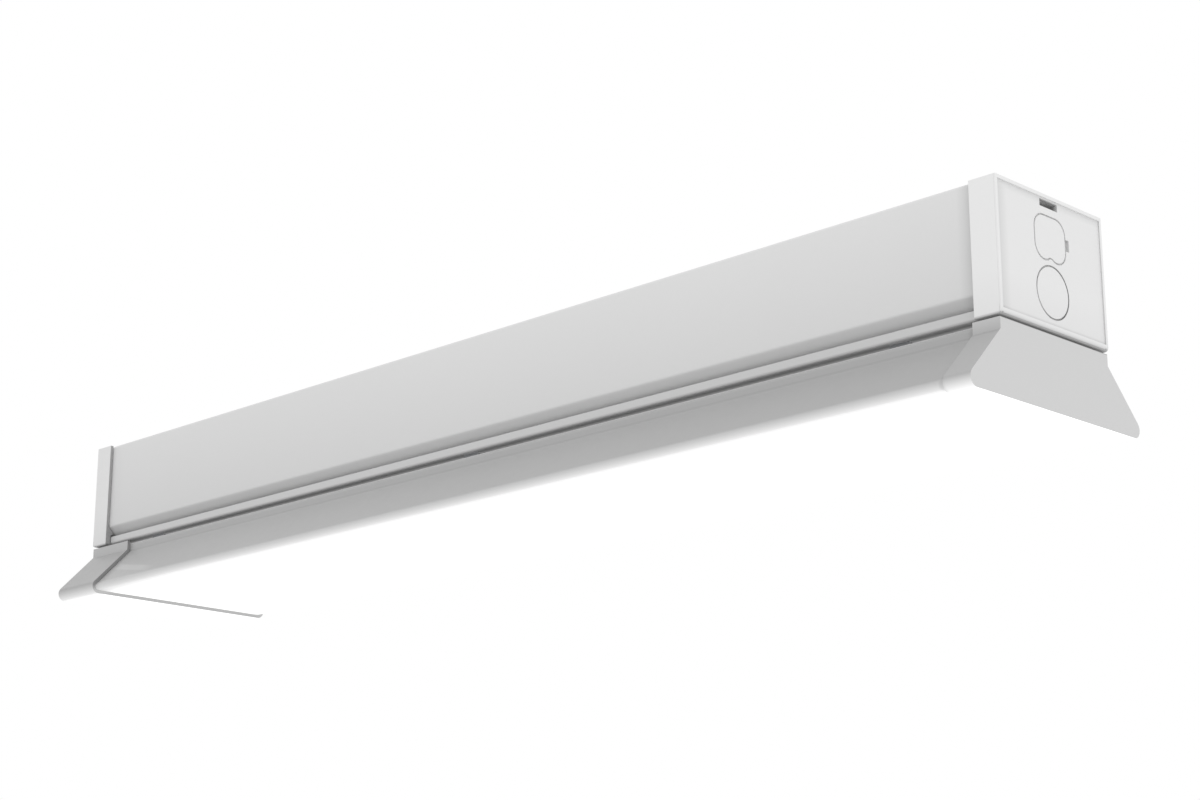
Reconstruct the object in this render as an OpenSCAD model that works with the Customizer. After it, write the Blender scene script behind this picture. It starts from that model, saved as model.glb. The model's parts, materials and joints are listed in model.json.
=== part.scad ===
// Linear ceiling strip light with a flared, frosted lens. Millimetres, +Z up, +X along the light.
// The origin lies on the ceiling face, at the middle of the channel's flat top.
// The gear tray closes the channel from below and swings down on hinges along its +Y edge.

/* [Overall] */
// Length over the two end caps
body_length = 610; // [520:10:1220]
// Width over the sides of the end caps
body_width = 73; // [71:0.5:80]
// Height from the ceiling face to the underside of the end caps
body_height = 56.3; // [54:0.1:70]
// Gap left between pieces that seat on or slide past each other
seat_gap = 0.3; // [0.2:0.05:0.4]

/* [Channel] */
// Thickness of the channel's folded steel
channel_sheet = 0.8; // [0.6:0.1:1.1]
// Outside radius of the folds in the channel
channel_fold_r = 1.6; // [1.3:0.1:2.4]
// Run of the 45 degree bands along the channel's lower edges, inward and down
band_run = 8.8; // [7:0.2:9.6]
// Width of the channel's opening between its return lips
opening_width = 40; // [39.6:0.2:44]
// Gap between the channel's end and the end cap's face panel
channel_end_gap = 0.5; // [0.2:0.1:1.5]

/* [Ceiling fixing] */
// Distance of each ceiling screw hole from the end of the light
fixing_inset = 76.4; // [60:0.2:120]
// Diameter of the ceiling screw holes
fixing_hole_d = 7; // [5:0.5:9]
// Diameter of the trade knockouts and of the supply hole
trade_hole_d = 22.2; // [20:0.1:23]
// Distance of the knockout in the channel's top from the middle of the light
top_knockout_x = 150; // [120:5:180]
// Distance of each pair of hanger slots from the end of the light
hanger_inset = 40; // [30:1:55]
// Length of a hanger slot
hanger_slot_length = 14; // [8:1:18]
// Width of a hanger slot
hanger_slot_width = 3; // [2:0.5:5]

/* [End caps] */
// How far the end caps stand proud of the channel's sides
cap_proud = 2; // [1.5:0.1:2.6]
// Length of the end cap's sleeve over the channel
cap_depth = 12.6; // [11:0.2:18]
// Thickness of the end cap's face panel
cap_panel_t = 1.8; // [1.2:0.1:2.6]
// Depth of the recess within the end cap's rim
cap_recess = 0.7; // [0.4:0.1:2]
// Width of the rim at the top and sides
cap_rim = 1.5; // [1:0.1:2.4]
// Width of the rim at the bottom
cap_foot_rim = 2.6; // [2.6:0.1:5]
// Radius of the lower outer edge
cap_foot_r = 2.2; // [0.8:0.1:2.6]
// Radius of the other outer edges
cap_edge_r = 0.5; // [0.2:0.1:1]
// How far the sleeve reaches in under the channel's 45 degree band
cap_tooth = 2.8; // [1.5:0.1:4]
// Width of the latch window at the top of the face
latch_window_width = 12; // [8:0.5:16]
// Height of the latch window
latch_window_height = 3; // [2:0.1:4]
// Diameter of the round knockout outline
cap_knockout_d = 21.6; // [18:0.2:23]
// Height of the round knockout's centre above the underside of the cap
cap_knockout_z = 16.4; // [15:0.1:18]
// Width of the rounded upper knockout outline
lobed_width = 21; // [18:0.2:24]
// Height of the rounded upper knockout outline
lobed_height = 18.6; // [17:0.1:20]
// Corner radius of the upper knockout outline
lobed_r = 6.2; // [4:0.1:7]
// Depth of the notch between its two lower lobes
lobed_notch = 1.2; // [0.4:0.1:2]
// Height of the upper knockout's top edge below the ceiling face
lobed_drop = 8.5; // [7:0.1:9]
// Width of the engraved outline
groove_width = 0.7; // [0.3:0.1:1]
// Depth of the engraved outline
groove_depth = 0.8; // [0.2:0.1:1]

/* [Gear tray] */
// Thickness of the tray's folded steel
tray_sheet = 0.8; // [0.6:0.1:1.1]
// Outside radius of the tray's folds
tray_fold_r = 1.1; // [1:0.1:1.6]
// Height of the tray's lip, which shows below the channel's side
lip_height = 4; // [3.6:0.1:4.8]
// How far the lip stands inside the channel's side
lip_inset = 1; // [0.6:0.1:1.4]
// Height of the tray's underside above the underside of the end caps
tray_lift = 0.6; // [0.3:0.1:1]
// Gap between the tray's end and the end cap's sleeve
tray_end_gap = 0.6; // [0.4:0.1:1.5]

/* [Hinges and latches] */
// Distance of each hinge, and of each latch opposite it, from the middle of the light
hinge_x = 200; // [150:5:215]
// Diameter of the hinge pins
hinge_pin_d = 2; // [1.6:0.1:2.2]
// Diameter of the hinge knuckles
knuckle_d = 4; // [3.6:0.1:4.2]
// Length of the tray's knuckle, between the two of the hinge leaf
knuckle_length = 14; // [8:1:24]
// Length of each knuckle of the hinge leaf
leaf_knuckle_length = 8; // [5:1:12]
// Thickness of the hinge leaf on the channel's band
leaf_t = 1; // [0.8:0.1:1.2]
// Radial clearance of the hinge pin in the tray's knuckle
hinge_clearance = 0.05; // [0.02:0.01:0.1]
// Width of a leaf latch
latch_width = 14; // [8:1:20]
// Height of a leaf latch above the tray
latch_height = 8; // [6:0.5:14]
// Thickness of the spring steel
spring_t = 0.5; // [0.3:0.05:0.6]

/* [Lens] */
// Thickness of the lens wall
lens_wall = 1.8; // [1.2:0.1:2.4]
// Half the width of the lens's upright neck
lens_half = 34.45; // [33.8:0.05:35]
// Drop from the underside of the end caps to the top of the lens
lens_gap = 1.6; // [1.2:0.1:2.2]
// Drop from the underside of the end caps to the crease between the lens's neck and flare
lens_crease = 6.6; // [5.8:0.1:12]
// Drop from the underside of the end caps to the underside of the lens
lens_drop = 30.45; // [26:0.1:42]
// Half the width of the lens's foot, where flare and underside would meet in a sharp edge
lens_foot_half = 57.8; // [50:0.1:66]
// Radius of the lens's foot
lens_foot_r = 2; // [1.9:0.1:5]
// Radius of the crease
lens_crease_r = 2.4; // [2:0.1:4]
// Width of the lip turned in along each top edge of the lens
lens_lip = 3.2; // [2.4:0.1:3.4]

/* [Lens caps] */
// How far the lens caps' sleeves stand proud of the lens
sleeve_proud = 1.85; // [1.2:0.05:2]
// Length of the left lens cap
left_sleeve_length = 33.2; // [12:0.2:60]
// Length of the right lens cap
right_sleeve_length = 13; // [11:0.2:60]
// Thickness of a lens cap's end wall
lens_end_wall = 2; // [1.4:0.1:3]
// How far the lens caps' faces lie inside the end caps' faces
lens_end_inset = 0.8; // [0.4:0.1:4]
// Drop from the underside of the end caps to the top of the lens caps
sleeve_gap = 0.95; // [0.7:0.05:1.1]
// Clearance between the lens and its caps
sleeve_clearance = 0.1; // [0.05:0.05:0.2]
// Length of the rib in the lens cap that plugs into the lens
plug_length = 6; // [4:1:10]
// Thickness of that rib
plug_t = 1.4; // [1:0.1:2]

/* [Lens clips] */
// Length of a lens clip along the light
clip_length = 10; // [6:1:20]
// Distance of the outer lens clips from the tray's end
clip_inset = 40; // [30:1:60]
// Height of a lens clip below the tray
clip_height = 7; // [6:0.5:10]

/* [LED boards] */
// Width of an LED board
board_width = 20; // [16:0.5:20]
// Thickness of an LED board
board_t = 1.6; // [1:0.1:2]
// Distance from the tray's end to an LED board
board_inset = 23.8; // [22:0.2:50]
// Gap between the two LED boards
board_gap = 2; // [1:0.5:4]
// Distance between neighbouring LED packages
led_pitch = 11; // [8:0.5:20]
// Length of an LED package
led_length = 3.5; // [2:0.1:5]
// Width of an LED package
led_width = 2.8; // [2:0.1:5]
// Height of an LED package
led_height = 0.7; // [0.5:0.1:1.5]

/* [Driver] */
// Distance from the tray's left end to the driver
driver_inset = 56.8; // [54:0.2:70]
// Length of the driver
driver_length = 230; // [180:5:240]
// Width of the driver
driver_width = 26; // [20:0.5:26]
// Height of the driver's case above its base plate
driver_height = 21; // [19:0.5:24]
// Thickness of the driver's case and base plate
driver_wall = 0.8; // [0.6:0.1:1.2]
// Height of the posts under the driver's circuit board
driver_post = 4; // [3:0.5:5]

/* [Terminal block] */
// Distance from the driver's right end to the middle of the terminal block
terminal_offset = 95; // [90:1:110]
// Length of the terminal block along the light
terminal_length = 26; // [24:1:32]
// Height of the terminal block
terminal_height = 12; // [11:0.5:14]
// Distance between neighbouring levers
lever_pitch = 8; // [7.6:0.1:8]
// Width of a lever
lever_width = 5.2; // [4:0.1:5.2]
// Thickness of a lever's blade
lever_t = 2.4; // [1.8:0.1:2.8]
// Diameter of a lever's axle
axle_d = 2; // [1.6:0.1:2.2]

/* [Wiring] */
// Diameter of the supply side's insulated wires
wire_d = 2.2; // [1.8:0.1:2.4]
// Diameter of the LED leads
lead_d = 1.8; // [1.4:0.1:2]
// Distance from the terminal block to the ground lug
lug_offset = 35; // [32:1:38]
// Diameter of the machine screws' shanks
screw_d = 3; // [2.5:0.1:3]
// Diameter of the ground screw's shank
ground_screw_d = 4; // [3:0.1:4]
// Length of the bushing in the supply hole
bushing_length = 9; // [6:0.5:12]
// Diameter of the bushing's bore
bushing_bore_d = 16; // [12:0.5:17]
// Distance from the terminal block's middle back to the supply hole
supply_offset = 45; // [35:1:50]

/* [Hidden] */
$fn = 48;

// Past a face, so that a cut leaves no skin
over = 1;
// Straight pieces in a fold or a rounded corner
arc_steps = 8;
half_length = body_length / 2;
half_width = body_width / 2;

// Section of the channel, the tray and the end caps
channel_half = half_width - cap_proud;
tray_under = tray_lift - body_height;
tray_top = tray_under + tray_sheet;
channel_under = tray_top + seat_gap;
band_top = channel_under + band_run;
tray_half = channel_half - lip_inset;
lip_top = tray_under + lip_height;
opening_half = opening_width / 2;
cap_mouth_x = half_length - cap_depth;
recess_x = half_length - cap_recess;
panel_x = recess_x - cap_panel_t;
channel_x = panel_x - channel_end_gap;
tray_x = cap_mouth_x - tray_end_gap;
fixing_x = half_length - fixing_inset;

// Hinge axis, beside the channel's band and just above the tray's lip
hinge_y = channel_half - 0.1;
hinge_z = lip_top + 0.4;
pin_r = hinge_pin_d / 2;
knuckle_r = knuckle_d / 2;
knuckle_gap = 0.3;
leaf_half = knuckle_length / 2 + knuckle_gap + leaf_knuckle_length;
// Distance of the hinge axis from the outer face of the band, across the band
band_reach = (band_top - hinge_z + hinge_y - channel_half) / sqrt(2);

// Lens section
sleeve_half = lens_half + sleeve_proud;
lip_inner = lens_half - lens_lip;
lens_top_z = -body_height - lens_gap;
crease_z = -body_height - lens_crease;
lens_under_z = -body_height - lens_drop;
lens_face_x = half_length - lens_end_inset;
lens_x = lens_face_x - lens_end_wall - sleeve_clearance;
clip_x = [-(tray_x - clip_inset), 0, tray_x - clip_inset];
clip_foot_y = 15;
clip_rivet_y = 17.4;
latch_rivet_y = 16;

// Places along the tray
driver_left = -tray_x + driver_inset;
driver_right = driver_left + driver_length;
driver_half = driver_width / 2;
terminal_x = driver_right + terminal_offset;
terminal_left = terminal_x - terminal_length / 2;
lug_x = terminal_x - lug_offset;
supply_x = terminal_x - supply_offset;
grommet_x = -tray_x + 11.8;
saddle_x = [driver_right + 20, driver_right + 40];
board_outer = tray_x - board_inset;
board_length = board_outer - board_gap / 2;
board_under = tray_under - board_t;

// Screws
screw_r = screw_d / 2;
screw_head_r = 2.7;
screw_head_h = 2;
screw_fit = 0.05;
ear_y = 15.6;
ear_reach = 18.4;
board_screw_x = board_outer - 19;
ground_screw_r = ground_screw_d / 2;
ground_y = -14.8;
lug_t = 0.8;
lug_r = 3.5;
barrel_r = 1.7;

// Terminal block
terminal_half = 1.5 * lever_pitch + 0.6;
pocket_width = lever_width + 0.4;
pivot_x = terminal_x + terminal_length / 2 - 5.5;
pivot_z = tray_top + terminal_height - 1.8;
axle_r = axle_d / 2;
axle_length = pocket_width + 1.6;
hub_r = 1.8;
entry_z = tray_top + 4;
wire_r = wire_d / 2;
lead_r = lead_d / 2;

// Turns a section drawn in y and z into a bar from x0 to x1
module along_x(x0, x1) {
    translate([x0, 0, 0])
        rotate([90, 0, 90])
            linear_extrude(x1 - x0)
                children();
}

// A bar through the given point, round, from x0 to x1
module rod_x(x0, x1, y, z, r) {
    translate([x0, y, z])
        rotate([0, 90, 0])
            cylinder(h = x1 - x0, r = r);
}

function unit(v) = v / norm(v);
function to_left(v) = [-v[1], v[0]];
function turned(v, a) = [v[0] * cos(a) - v[1] * sin(a), v[0] * sin(a) + v[1] * cos(a)];
function reversed(v) = [for (i = [len(v) - 1 : -1 : 0]) v[i]];

// Points of the fold at b, on a line that lies off to the left of the path a, b, c
function fold_points(a, b, c, r, off) =
    let (
        before = unit(b - a),
        after = unit(c - b),
        turn = atan2(cross(before, after), before * after),
        side = sign(turn),
        centre = b - before * r * tan(abs(turn) / 2) + to_left(before) * side * r
    )
    [for (i = [0 : arc_steps])
        centre - side * (r - side * off) * turned(to_left(before), turn * i / arc_steps)];

// A path with rounded corners, moved off to its left
function folded(path, radii, off) =
    let (last = len(path) - 1)
    concat(
        [path[0] + off * to_left(unit(path[1] - path[0]))],
        [for (k = [1 : last - 1]) each fold_points(path[k - 1], path[k], path[k + 1], radii[k - 1], off)],
        [path[last] + off * to_left(unit(path[last] - path[last - 1]))]
    );

// A wall of even thickness between two lines beside one path
module wall_section(path, radii, off_a, off_b) {
    polygon(concat(folded(path, radii, off_a), reversed(folded(path, radii, off_b))));
}

// Cuts the corner at the origin, whose material lies towards -x and -y, to a radius
module corner_cut(r, length) {
    difference() {
        translate([-r, -r, -over])
            cube([r + over, r + over, length + 2 * over]);
        translate([-r, -r, -2 * over])
            cylinder(h = length + 4 * over, r = r);
    }
}

// Pan head screw with a cross recess, head up, the underside of its head at the origin
module pan_screw(r, length, head_r = screw_head_r, head_h = screw_head_h) {
    dome_r = (head_r * head_r + head_h * head_h) / (2 * head_h);
    difference() {
        union() {
            intersection() {
                translate([0, 0, head_h - dome_r])
                    sphere(dome_r);
                cylinder(h = head_h, r = head_r);
            }
            translate([0, 0, -length])
                cylinder(h = length + head_h / 4, r = r);
        }
        for (a = [0, 90])
            rotate(a)
                translate([-head_r * 0.5, -0.35, head_h * 0.45])
                    cube([head_r, 0.7, head_h]);
    }
}

// Rivet through a stack of the given height, with a flat head at each end
module rivet(r, stack, head_r, head_h) {
    cylinder(h = stack, r = r);
    translate([0, 0, -head_h])
        cylinder(h = head_h, r = head_r);
    translate([0, 0, stack])
        cylinder(h = head_h, r = head_r);
}

// Smooth run of points through a route, a few to each stretch
route_steps = 4;
function route_point(r, i) = r[max(0, min(len(r) - 1, i))];
function smooth_route(r) =
    concat(
        [for (i = [0 : len(r) - 2]) for (k = [0 : route_steps - 1])
            let (
                t = k / route_steps,
                a = route_point(r, i - 1),
                b = route_point(r, i),
                c = route_point(r, i + 1),
                d = route_point(r, i + 2)
            )
            (2 * b + (c - a) * t + (2 * a - 5 * b + 4 * c - d) * t * t + (3 * b - a - 3 * c + d) * t * t * t) / 2],
        [r[len(r) - 1]]
    );

// Direction of a run of points at point i
function heading(p, i) = unit(route_point(p, i + 1) - route_point(p, i - 1));

// Insulated wire of radius r along a route: rings of 10 points, each square to the run
wire_sides = 10;
module wire(route, r) {
    p = smooth_route(route);
    n = len(p);
    first = unit(cross(heading(p, 0), [0.13, 1, 0.07]));
    across = [for (i = 0, v = first; i < n; i = i + 1,
            v = i < n ? unit(v - heading(p, i) * (v * heading(p, i))) : v) v];
    rings = [for (i = [0 : n - 1]) for (k = [0 : wire_sides - 1])
        p[i] + r * (cos(360 * k / wire_sides) * across[i]
            + sin(360 * k / wire_sides) * cross(heading(p, i), across[i]))];
    function at(i, k) = i * wire_sides + k % wire_sides;
    polyhedron(
        points = rings,
        faces = concat(
            [for (i = [0 : n - 2]) for (k = [0 : wire_sides - 1]) [at(i, k), at(i + 1, k), at(i + 1, k + 1)]],
            [for (i = [0 : n - 2]) for (k = [0 : wire_sides - 1]) [at(i, k), at(i + 1, k + 1), at(i, k + 1)]],
            [for (k = [1 : wire_sides - 2]) [at(0, 0), at(0, k), at(0, k + 1)]],
            [for (k = [1 : wire_sides - 2]) [at(n - 1, 0), at(n - 1, k + 1), at(n - 1, k)]]
        ),
        convexity = 6
    );
}

// Channel: one folded sheet, open below, its lower edges turned in at 45 degrees and then level
channel_path = [
    [opening_half, channel_under],
    [channel_half - band_run, channel_under],
    [channel_half, band_top],
    [channel_half, 0],
    [-channel_half, 0],
    [-channel_half, band_top],
    [-channel_half + band_run, channel_under],
    [-opening_half, channel_under]
];
channel_radii = [for (i = [1 : 6]) channel_fold_r];

module through_top(x, y) {
    translate([x, y, -channel_sheet - over])
        linear_extrude(channel_sheet + 2 * over)
            children();
}

// Slit round a knockout disc, which two ties hold in the sheet
module knockout_slit() {
    tie_width = 3;
    slit = 0.6;
    difference() {
        circle(d = trade_hole_d + slit);
        circle(d = trade_hole_d - slit);
        square([trade_hole_d + 2 * over, tie_width], center = true);
    }
}

module channel() {
    catch_length = 3;
    color([0.93, 0.93, 0.93])
        difference() {
            along_x(-channel_x, channel_x)
                wall_section(channel_path, channel_radii, 0, channel_sheet);
            for (side = [-1, 1]) {
                through_top(side * fixing_x, 0)
                    circle(d = fixing_hole_d);
                for (y = [-1, 1])
                    through_top(side * (half_length - hanger_inset), y * channel_half * 0.6)
                        square([hanger_slot_width, hanger_slot_length], center = true);
                through_top(side * (arm_nose_x + catch_length / 2 - over / 2), 0)
                    square([catch_length, latch_window_width + 2 * seat_gap], center = true);
            }
            through_top(-top_knockout_x, 0)
                knockout_slit();
            through_top(supply_x, 0)
                circle(d = trade_hole_d);
        }
}

// End cap: sleeve round the channel's end, recessed face, engraved knockouts, snap arm
arm_length = 12;
arm_nose_x = panel_x - arm_length;
window_top = -cap_rim - 0.6;

module cap_side_section() {
    clearance = seat_gap * sqrt(2);
    inner = channel_half - 1.2;
    tooth_y = channel_half - cap_tooth;
    tooth_z = band_top - cap_tooth - clearance;
    polygon([
        [channel_half + seat_gap, 0],
        [half_width, 0],
        [half_width, -body_height],
        [0, -body_height],
        [0, channel_under - seat_gap],
        [inner, channel_under - seat_gap],
        [inner, tooth_z - 1.7],
        [tooth_y, tooth_z - 1.2],
        [tooth_y, tooth_z],
        [channel_half + seat_gap, band_top - clearance + seat_gap]
    ]);
}

// Outline of the upper knockout: a rounded square with two lobes below, grown by g all round
function corner_arc(y, z, r, from, to) =
    [for (i = [0 : arc_steps]) let (a = from + (to - from) * i / arc_steps) [y + r * cos(a), z + r * sin(a)]];
function lobed_outline(g) =
    let (
        y = lobed_width / 2 - lobed_r,
        top = -lobed_drop - lobed_r,
        low = -lobed_drop - lobed_height + lobed_r,
        notch = acos(1 - lobed_notch / lobed_r),
        r = lobed_r + g
    )
    concat(
        corner_arc(y, top, r, 90, 0),
        corner_arc(y, low, r, 0, -90 - notch),
        corner_arc(-y, low, r, -90 + notch, -180),
        corner_arc(-y, top, r, 180, 90)
    );

module engraved(depth) {
    along_x(recess_x - depth, recess_x + over)
        children();
}

module end_cap() {
    knockout_z = cap_knockout_z - body_height;
    pry_length = 4.8;
    pry_width = 2.5;
    pry_depth = 1.1;
    guide_t = 1.5;
    guide_length = 8;
    guide_y = channel_half - channel_sheet - seat_gap - guide_t;
    arm_t = 1;
    nose_t = 1.2;
    color([0.95, 0.95, 0.95])
        difference() {
            union() {
                along_x(cap_mouth_x, half_length) {
                    cap_side_section();
                    mirror([1, 0])
                        cap_side_section();
                }
                along_x(panel_x, half_length)
                    translate([-half_width + over, -body_height + over])
                        square([body_width - 2 * over, body_height - over]);
                for (side = [-1, 1])
                    translate([panel_x - guide_length, side > 0 ? guide_y : -guide_y - guide_t, band_top + 3])
                        cube([guide_length + over, guide_t, -band_top - 9]);
                translate([arm_nose_x, -latch_window_width / 2, window_top])
                    cube([arm_length + over, latch_window_width, arm_t]);
                translate([arm_nose_x, -latch_window_width / 2, window_top])
                    cube([1.6, latch_window_width, nose_t - 0.2]);
            }
            translate([recess_x, -half_width + cap_rim, -body_height + cap_foot_rim])
                cube([cap_recess + over, body_width - 2 * cap_rim, body_height - cap_rim - cap_foot_rim]);
            translate([panel_x - over, -latch_window_width / 2, window_top - latch_window_height])
                cube([cap_panel_t + 2 * over, latch_window_width, latch_window_height]);
            engraved(groove_depth)
                difference() {
                    polygon(lobed_outline(groove_width / 2));
                    polygon(lobed_outline(-groove_width / 2));
                }
            engraved(groove_depth)
                translate([0, knockout_z])
                    difference() {
                        circle(d = cap_knockout_d + groove_width);
                        circle(d = cap_knockout_d - groove_width);
                    }
            engraved(pry_depth)
                translate([lobed_width / 2, -lobed_drop - lobed_height / 2 - pry_length / 2])
                    square([pry_width, pry_length]);
            translate([half_length, half_width + over, -body_height])
                rotate([90, 0, 0])
                    mirror([0, 1, 0])
                        corner_cut(cap_foot_r, body_width + 2 * over);
            for (side = [-1, 1])
                scale([1, side, 1]) {
                    translate([half_length, half_width, -body_height])
                        corner_cut(cap_edge_r, body_height);
                    translate([cap_mouth_x, half_width, -body_height])
                        rotate([90, 0, 90])
                            mirror([0, 1, 0])
                                corner_cut(cap_edge_r, cap_depth);
                }
        }
}

module right_end_cap() {
    end_cap();
}

module left_end_cap() {
    rotate(180)
        end_cap();
}

// Hinge leaf on the channel's band: section across the hinge axis, whose x runs to the band
module leaf_section(with_knuckle) {
    plate_before = 4;
    plate_after = 4.6;
    neck_width = 2.4;
    translate([hinge_y, hinge_z])
        rotate(135)
            difference() {
                union() {
                    translate([band_reach - leaf_t, -plate_before])
                        square([leaf_t, plate_before + plate_after]);
                    if (with_knuckle) {
                        translate([0, -neck_width / 2])
                            square([band_reach - leaf_t / 2, neck_width]);
                        circle(knuckle_r);
                    }
                }
                if (with_knuckle)
                    circle(pin_r + 0.01);
            }
}

module hinge_leaves() {
    inner = knuckle_length / 2 + knuckle_gap;
    color([0.8, 0.8, 0.8])
        for (side = [-1, 1])
            translate([side * hinge_x, 0, 0]) {
                along_x(-inner, inner)
                    leaf_section(false);
                along_x(-leaf_half, -inner)
                    leaf_section(true);
                along_x(inner, leaf_half)
                    leaf_section(true);
            }
}

module hinge_pins() {
    head_t = 0.8;
    color([0.72, 0.72, 0.72])
        for (side = [-1, 1])
            translate([side * hinge_x, 0, 0]) {
                rod_x(-leaf_half - head_t / 2, leaf_half + head_t / 2, hinge_y, hinge_z, pin_r);
                rod_x(-leaf_half - head_t, -leaf_half, hinge_y, hinge_z, pin_r + 0.5);
                rod_x(leaf_half, leaf_half + head_t, hinge_y, hinge_z, pin_r + 0.5);
            }
}

// Bushing that lines the supply hole, flush with the ceiling face
module supply_bushing() {
    flange_r = trade_hole_d / 2 + 2.4;
    flange_t = 1.6;
    neck_r = trade_hole_d / 2 - 0.1;
    barrel_outer = trade_hole_d / 2 - 1.1;
    bore_r = bushing_bore_d / 2;
    color([0.15, 0.15, 0.15])
        translate([supply_x, 0, 0])
            rotate_extrude()
                polygon([
                    [bore_r, 0],
                    [neck_r, 0],
                    [neck_r, -channel_sheet],
                    [flange_r, -channel_sheet],
                    [flange_r, -channel_sheet - flange_t],
                    [barrel_outer, -channel_sheet - flange_t],
                    [barrel_outer, -bushing_length],
                    [bore_r, -bushing_length]
                ]);
}

// Gear tray: folded sheet with an upturned lip along each side, and the hinge's knuckles on the +Y lip
tray_path = [
    [tray_half, lip_top],
    [tray_half, tray_under],
    [-tray_half, tray_under],
    [-tray_half, lip_top]
];
tray_radii = [tray_fold_r, tray_fold_r];

// Tab lanced from the tray, which holds one edge of an LED board
module board_tab(x, side) {
    tab_length = 8;
    tab_t = 0.8;
    tab_over = 1.5;
    tab_drop = board_t + seat_gap + tab_t;
    edge = board_width / 2 + seat_gap;
    scale([1, side, 1])
        translate([x - tab_length / 2, 0, tray_under - tab_drop]) {
            translate([0, edge, 0])
                cube([tab_length, tab_t, tab_drop + tray_sheet / 2]);
            translate([0, edge - tab_over, 0])
                cube([tab_length, tab_over + tab_t / 2, tab_t]);
        }
}

module tray_hole(x, y, r) {
    translate([x, y, tray_under - over])
        cylinder(h = tray_sheet + 2 * over, r = r);
}

module gear_tray() {
    notch_floor = hinge_z - knuckle_r - 0.7;
    color([0.96, 0.96, 0.96])
        difference() {
            union() {
                along_x(-tray_x, tray_x)
                    wall_section(tray_path, tray_radii, 0, -tray_sheet);
                for (side = [-1, 1])
                    rod_x(side * hinge_x - knuckle_length / 2, side * hinge_x + knuckle_length / 2,
                        hinge_y, hinge_z, knuckle_r);
                for (board = [-1, 1])
                    for (share = [0.1, 0.5, 0.9])
                        for (side = [-1, 1])
                            board_tab(board * (board_gap / 2 + share * board_length), side);
            }
            for (side = [-1, 1])
                translate([side * hinge_x, 0, 0]) {
                    rod_x(-leaf_half, leaf_half, hinge_y, hinge_z, pin_r + hinge_clearance);
                    for (end = [-1, 1])
                        scale([end, 1, 1])
                            translate([knuckle_length / 2, tray_half - tray_sheet - over, notch_floor])
                                cube([leaf_half - knuckle_length / 2 + 1.5, tray_sheet + 2 * over, lip_height]);
                }
            tray_hole(grommet_x, 0, grommet_neck_r + screw_fit);
            tray_hole(driver_left + 12, ear_y, screw_r + screw_fit);
            tray_hole(driver_right - 12, -ear_y, screw_r + screw_fit);
            for (side = [-1, 1]) {
                tray_hole(terminal_x, side * ear_y, screw_r + screw_fit);
                tray_hole(side * board_screw_x, 0, screw_r + screw_fit);
                tray_hole(side * hinge_x, -latch_rivet_y, rivet_r);
            }
            for (x = clip_x)
                for (side = [-1, 1])
                    tray_hole(x, side * clip_rivet_y, rivet_r);
            tray_hole(lug_x, ground_y, ground_screw_r + screw_fit);
        }
}

// Leaf latches on the -Y side, drawn pressed in, each with its nose just clear of the return lip
rivet_r = 1.2;
rivet_head_r = 2;
rivet_head_h = 0.6;

module tray_latches() {
    nose = opening_half - seat_gap;
    back = nose - 0.9;
    nose_z = channel_under + channel_sheet + 1.6;
    color([0.75, 0.76, 0.78])
        difference() {
            for (side = [-1, 1])
                along_x(side * hinge_x - latch_width / 2, side * hinge_x + latch_width / 2)
                    mirror([1, 0])
                        polygon([
                            [driver_half + 0.5, tray_top],
                            [back, tray_top],
                            [back, nose_z - 1.2],
                            [nose, nose_z],
                            [back, nose_z + 1.8],
                            [back - 0.6, tray_top + latch_height],
                            [back - 0.6 - spring_t, tray_top + latch_height],
                            [back - spring_t, nose_z + 1.8],
                            [nose - spring_t, nose_z],
                            [back - spring_t, nose_z - 1.2],
                            [back - spring_t, tray_top + spring_t],
                            [driver_half + 0.5, tray_top + spring_t]
                        ]);
            for (side = [-1, 1])
                translate([side * hinge_x, -latch_rivet_y, tray_top - over])
                    cylinder(h = spring_t + 2 * over, r = rivet_r);
        }
}

module latch_rivets() {
    color([0.7, 0.7, 0.72])
        for (side = [-1, 1])
            translate([side * hinge_x, -latch_rivet_y, tray_under])
                rivet(rivet_r, tray_sheet + spring_t, rivet_head_r, rivet_head_h);
}

// Driver: base plate with two ears, folded case, circuit board on posts, and its components
driver_base_top = tray_top + driver_wall;
driver_board_z = driver_base_top + driver_post;
driver_board_t = 1.6;
driver_ears = [[driver_left + 12, 1], [driver_right - 12, -1]];

module driver_base() {
    ear_length = 9;
    post_r = 2;
    color([0.8, 0.8, 0.82])
        difference() {
            union() {
                translate([driver_left, -driver_half, tray_top])
                    cube([driver_length, driver_width, driver_wall]);
                for (ear = driver_ears)
                    scale([1, ear[1], 1])
                        translate([ear[0] - ear_length / 2, driver_half - over, tray_top])
                            cube([ear_length, ear_reach - driver_half + over, driver_wall]);
                for (x = [driver_left + 14, driver_right - 14])
                    for (side = [-1, 1])
                        translate([x, side * (driver_half - 4.5), tray_top])
                            cylinder(h = driver_wall + driver_post, r = post_r);
            }
            for (ear = driver_ears)
                translate([ear[0], ear[1] * ear_y, tray_top - over])
                    cylinder(h = driver_wall + 2 * over, r = screw_r + screw_fit);
        }
}

module driver_case() {
    end_inset = 2;
    color([0.88, 0.88, 0.88])
        difference() {
            translate([driver_left + end_inset, -driver_half, driver_base_top])
                cube([driver_length - 2 * end_inset, driver_width, driver_height]);
            translate([driver_left + end_inset + driver_wall, -driver_half + driver_wall, driver_base_top - over])
                cube([driver_length - 2 * end_inset - 2 * driver_wall, driver_width - 2 * driver_wall,
                    driver_height - driver_wall + over]);
            for (side = [-1, 1]) {
                rod_x(driver_right - 6, driver_right, side * supply_wire_y, driver_wire_z, wire_r + seat_gap);
                rod_x(driver_left, driver_left + 6, side * lead_driver_y, driver_wire_z, lead_r + seat_gap);
            }
        }
}

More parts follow.
